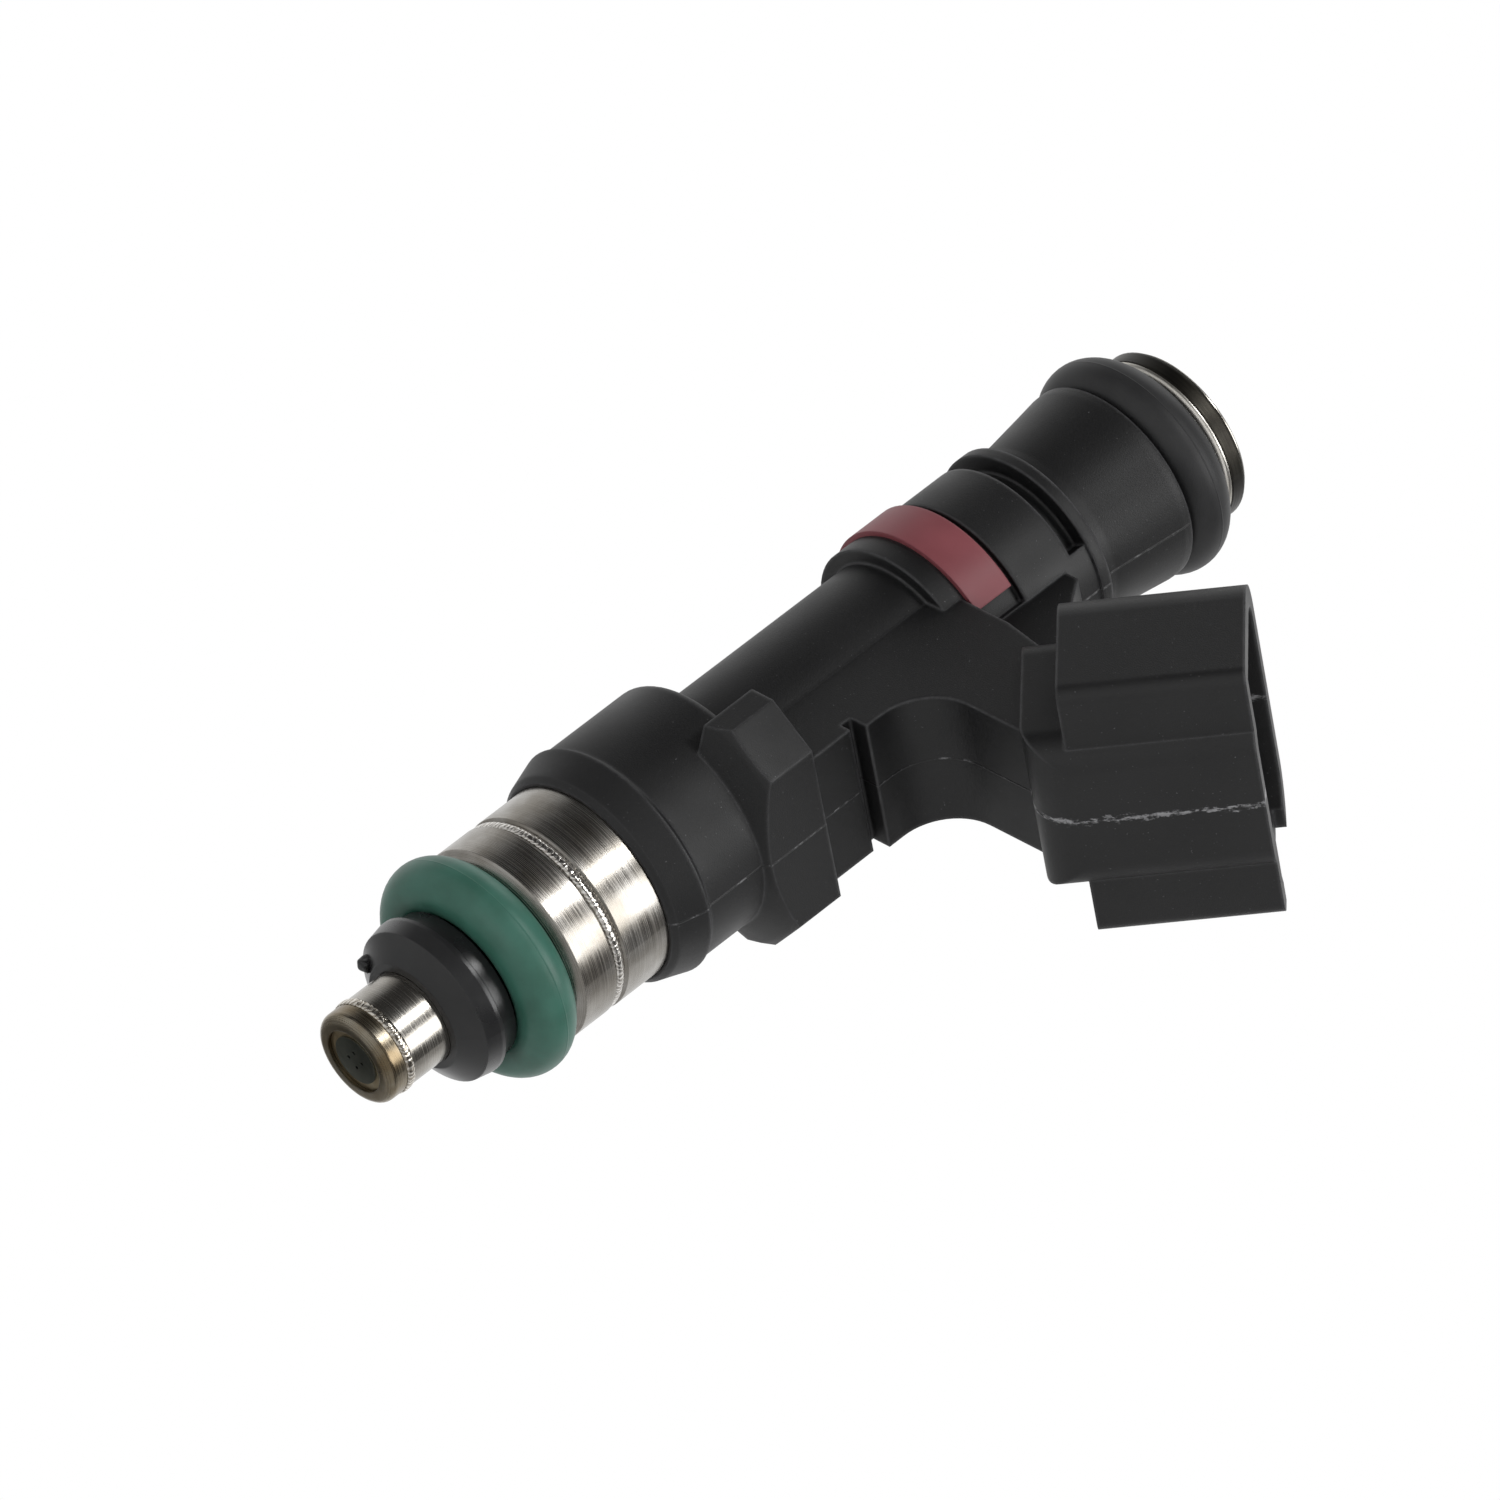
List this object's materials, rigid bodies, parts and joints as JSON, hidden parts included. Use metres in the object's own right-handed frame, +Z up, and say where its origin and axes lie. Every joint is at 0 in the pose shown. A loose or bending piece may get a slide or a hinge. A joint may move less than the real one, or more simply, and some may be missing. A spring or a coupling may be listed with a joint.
{
  "type": "port fuel injector",
  "caption": "Slim port fuel injector: steel nozzle, green and black ring seals, black moulded body and an angled keyed electrical socket.",
  "frame": {"origin": "centre of the lower sealing ring, on the injector's axis", "axes": "+Z up the axis to the fuel inlet, +X towards the electrical socket, Y across the plane of symmetry"},
  "size_m": [0.036, 0.0182, 0.069],
  "materials": {
    "black_nylon": "glass-filled nylon, fine grain",
    "turned_steel": "turned",
    "drawn_steel": "deep drawn, bright",
    "tip_steel": "heat tinted",
    "plate_steel": "etched",
    "magnetic_steel": "ground",
    "spring_steel": "drawn",
    "ball_steel": "polished",
    "ring_nylon": "moulded",
    "bobbin_nylon": "moulded",
    "mesh_nylon": "woven",
    "green_seal": "moulded",
    "black_seal": "moulded",
    "red_ring": "moulded",
    "tinned_brass": "tinned",
    "enamelled_wire": "wound",
    "brass_collar": "pressed"
  },
  "bodies": {
    "body": {"overmould_body": "black_nylon", "magnet_housing": "turned_steel", "valve_sleeve": "drawn_steel", "nozzle_cup": "tip_steel", "valve_seat": "tip_steel", "orifice_plate": "plate_steel", "support_ring": "ring_nylon", "lower_o_ring": "green_seal", "colour_ring": "red_ring", "upper_o_ring": "black_seal", "inlet_tube": "drawn_steel", "retainer_ring": "ring_nylon", "terminal_pin_left": "tinned_brass", "terminal_pin_right": "tinned_brass", "coil_bobbin": "bobbin_nylon", "coil_winding": "enamelled_wire", "flux_washer": "magnetic_steel", "pole_core": "magnetic_steel", "adjusting_sleeve": "plate_steel", "return_spring": "spring_steel", "filter_frame": "bobbin_nylon", "filter_mesh": "mesh_nylon", "filter_collar": "brass_collar"},
    "needle": {"armature": "magnetic_steel", "needle_tube": "drawn_steel", "valve_ball": "ball_steel"}
  },
  "joints": [
    {"name": "needle_lift", "type": "slide", "parent": "body", "child": "needle", "axis": [0, 0, 1], "range_m": [0, 0.00008], "stiffness_N_per_m": 100, "springref_m": -0.0001, "deforming": ["return_spring"]}
  ]
}
